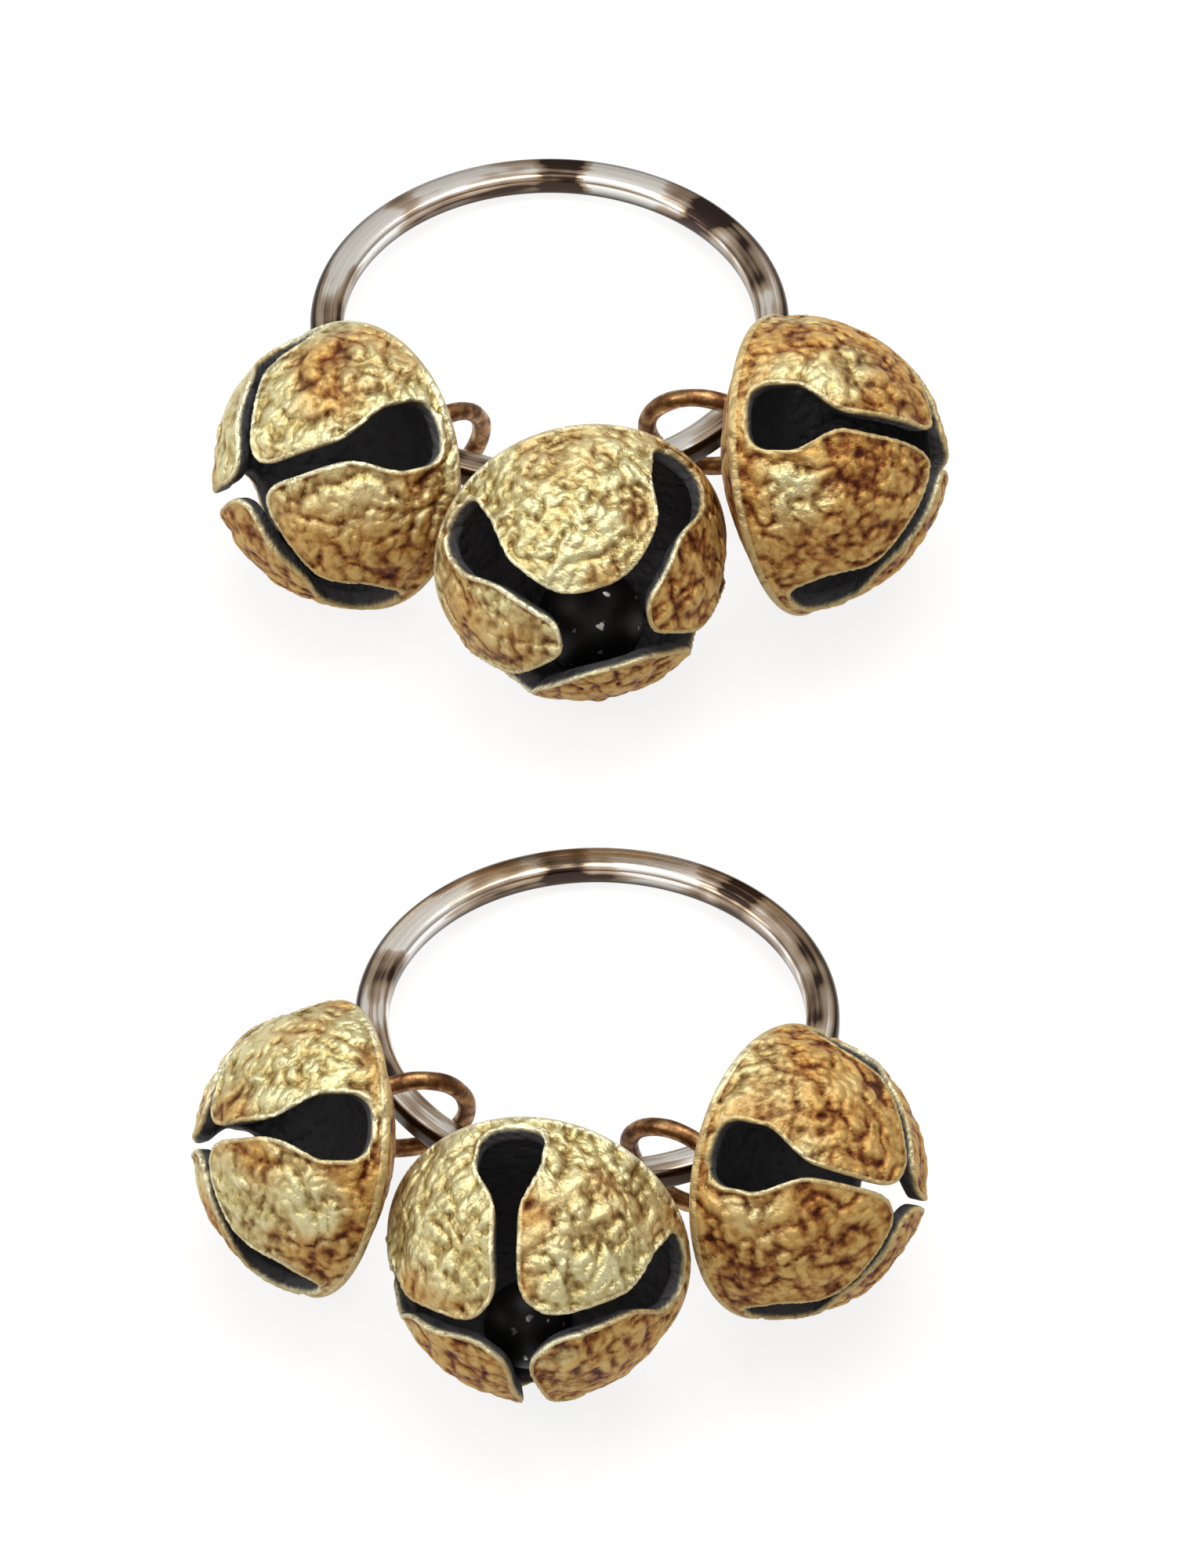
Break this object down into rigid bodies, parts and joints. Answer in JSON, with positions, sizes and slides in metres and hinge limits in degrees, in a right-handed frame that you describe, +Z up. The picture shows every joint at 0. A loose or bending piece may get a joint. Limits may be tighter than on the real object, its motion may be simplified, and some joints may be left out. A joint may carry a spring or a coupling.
{
  "type": "finger bells",
  "caption": "Finger rings with clusters of slotted cast brass pellet bells that swing on wire eyes and jingle as the hand moves.",
  "frame": {"origin": "on the table, under the middle of the box round both sets", "axes": "+Z up from the table; +Y away from the bells, from the lower set towards the upper set; +X to the right for a viewer who faces the bells"},
  "size_m": [0.0362, 0.0762, 0.0142],
  "materials": {
    "nickel_plate": "polished nickel plate, worn",
    "cast_brass": "rough casting, tarnished",
    "copper_wire": "browned copper wire",
    "iron_shot": "bare iron"
  },
  "bodies": {
    "upper_ring": {"upper_ring": "nickel_plate"},
    "lower_ring": {"lower_ring": "nickel_plate"},
    "upper_left_bell": {"upper_left_shell": "cast_brass", "upper_left_eye": "copper_wire"},
    "upper_left_pellet": {"upper_left_pellet": "iron_shot"},
    "upper_centre_bell": {"upper_centre_shell": "cast_brass", "upper_centre_eye": "copper_wire"},
    "upper_centre_pellet": {"upper_centre_pellet": "iron_shot"},
    "upper_right_bell": {"upper_right_shell": "cast_brass", "upper_right_eye": "copper_wire"},
    "upper_right_pellet": {"upper_right_pellet": "iron_shot"},
    "lower_left_bell": {"lower_left_shell": "cast_brass", "lower_left_eye": "copper_wire"},
    "lower_left_pellet": {"lower_left_pellet": "iron_shot"},
    "lower_centre_bell": {"lower_centre_shell": "cast_brass", "lower_centre_eye": "copper_wire"},
    "lower_centre_pellet": {"lower_centre_pellet": "iron_shot"},
    "lower_right_bell": {"lower_right_shell": "cast_brass", "lower_right_eye": "copper_wire"},
    "lower_right_pellet": {"lower_right_pellet": "iron_shot"}
  },
  "joints": [
    {"name": "lower_lift", "type": "slide", "parent": "upper_ring", "child": "lower_ring", "axis": [0, 0, 1], "range_m": [0, 0.06]},
    {"name": "upper_left_swing", "type": "hinge", "parent": "upper_ring", "child": "upper_left_bell", "pos_m": [-0.00727, 0.01797, 0.00449], "axis": [-0.8192, 0.563, -0.1094], "range_deg": [-30, 10]},
    {"name": "upper_left_roll", "type": "hinge", "parent": "upper_left_bell", "child": "upper_left_pellet", "pos_m": [-0.01021, 0.01599, 0.00612], "axis": [-0.7266, -0.4901, 0.4816], "continuous": true},
    {"name": "upper_centre_swing", "type": "hinge", "parent": "upper_ring", "child": "upper_centre_bell", "pos_m": [-0.0007, 0.01605, 0.00486], "axis": [-0.9994, -0.0343, 0.0067], "range_deg": [-30, 10]},
    {"name": "upper_centre_roll", "type": "hinge", "parent": "upper_centre_bell", "child": "upper_centre_pellet", "pos_m": [0.00038, 0.01047, 0.00658], "axis": [0.1762, -0.9063, 0.3842], "continuous": true},
    {"name": "upper_right_swing", "type": "hinge", "parent": "upper_ring", "child": "upper_right_bell", "pos_m": [0.00597, 0.01862, 0.00436], "axis": [-0.7576, -0.6408, 0.1246], "range_deg": [-30, 10]},
    {"name": "upper_right_roll", "type": "hinge", "parent": "upper_right_bell", "child": "upper_right_pellet", "pos_m": [0.01029, 0.01546, 0.00684], "axis": [0.9318, -0.131, 0.3386], "continuous": true},
    {"name": "lower_left_swing", "type": "hinge", "parent": "lower_ring", "child": "lower_left_bell", "pos_m": [-0.00699, -0.02133, 0.00414], "axis": [-0.6495, 0.7464, -0.1451], "range_deg": [-30, 10]},
    {"name": "lower_left_roll", "type": "hinge", "parent": "lower_left_bell", "child": "lower_left_pellet", "pos_m": [-0.01151, -0.02461, 0.00661], "axis": [-0.9209, -0.1459, 0.3614], "continuous": true},
    {"name": "lower_centre_swing", "type": "hinge", "parent": "lower_ring", "child": "lower_centre_bell", "pos_m": [-0.00047, -0.02492, 0.00484], "axis": [-0.9877, 0.1535, -0.0298], "range_deg": [-30, 10]},
    {"name": "lower_centre_roll", "type": "hinge", "parent": "lower_centre_bell", "child": "lower_centre_pellet", "pos_m": [-0.00155, -0.03047, 0.00676], "axis": [-0.1765, -0.9081, 0.3798], "continuous": true},
    {"name": "lower_right_swing", "type": "hinge", "parent": "lower_ring", "child": "lower_right_bell", "pos_m": [0.00496, -0.0244, 0.00474], "axis": [-0.9382, -0.3398, 0.066], "range_deg": [-30, 10]},
    {"name": "lower_right_roll", "type": "hinge", "parent": "lower_right_bell", "child": "lower_right_pellet", "pos_m": [0.0096, -0.02593, 0.00667], "axis": [0.8343, -0.4343, 0.3395], "continuous": true}
  ]
}
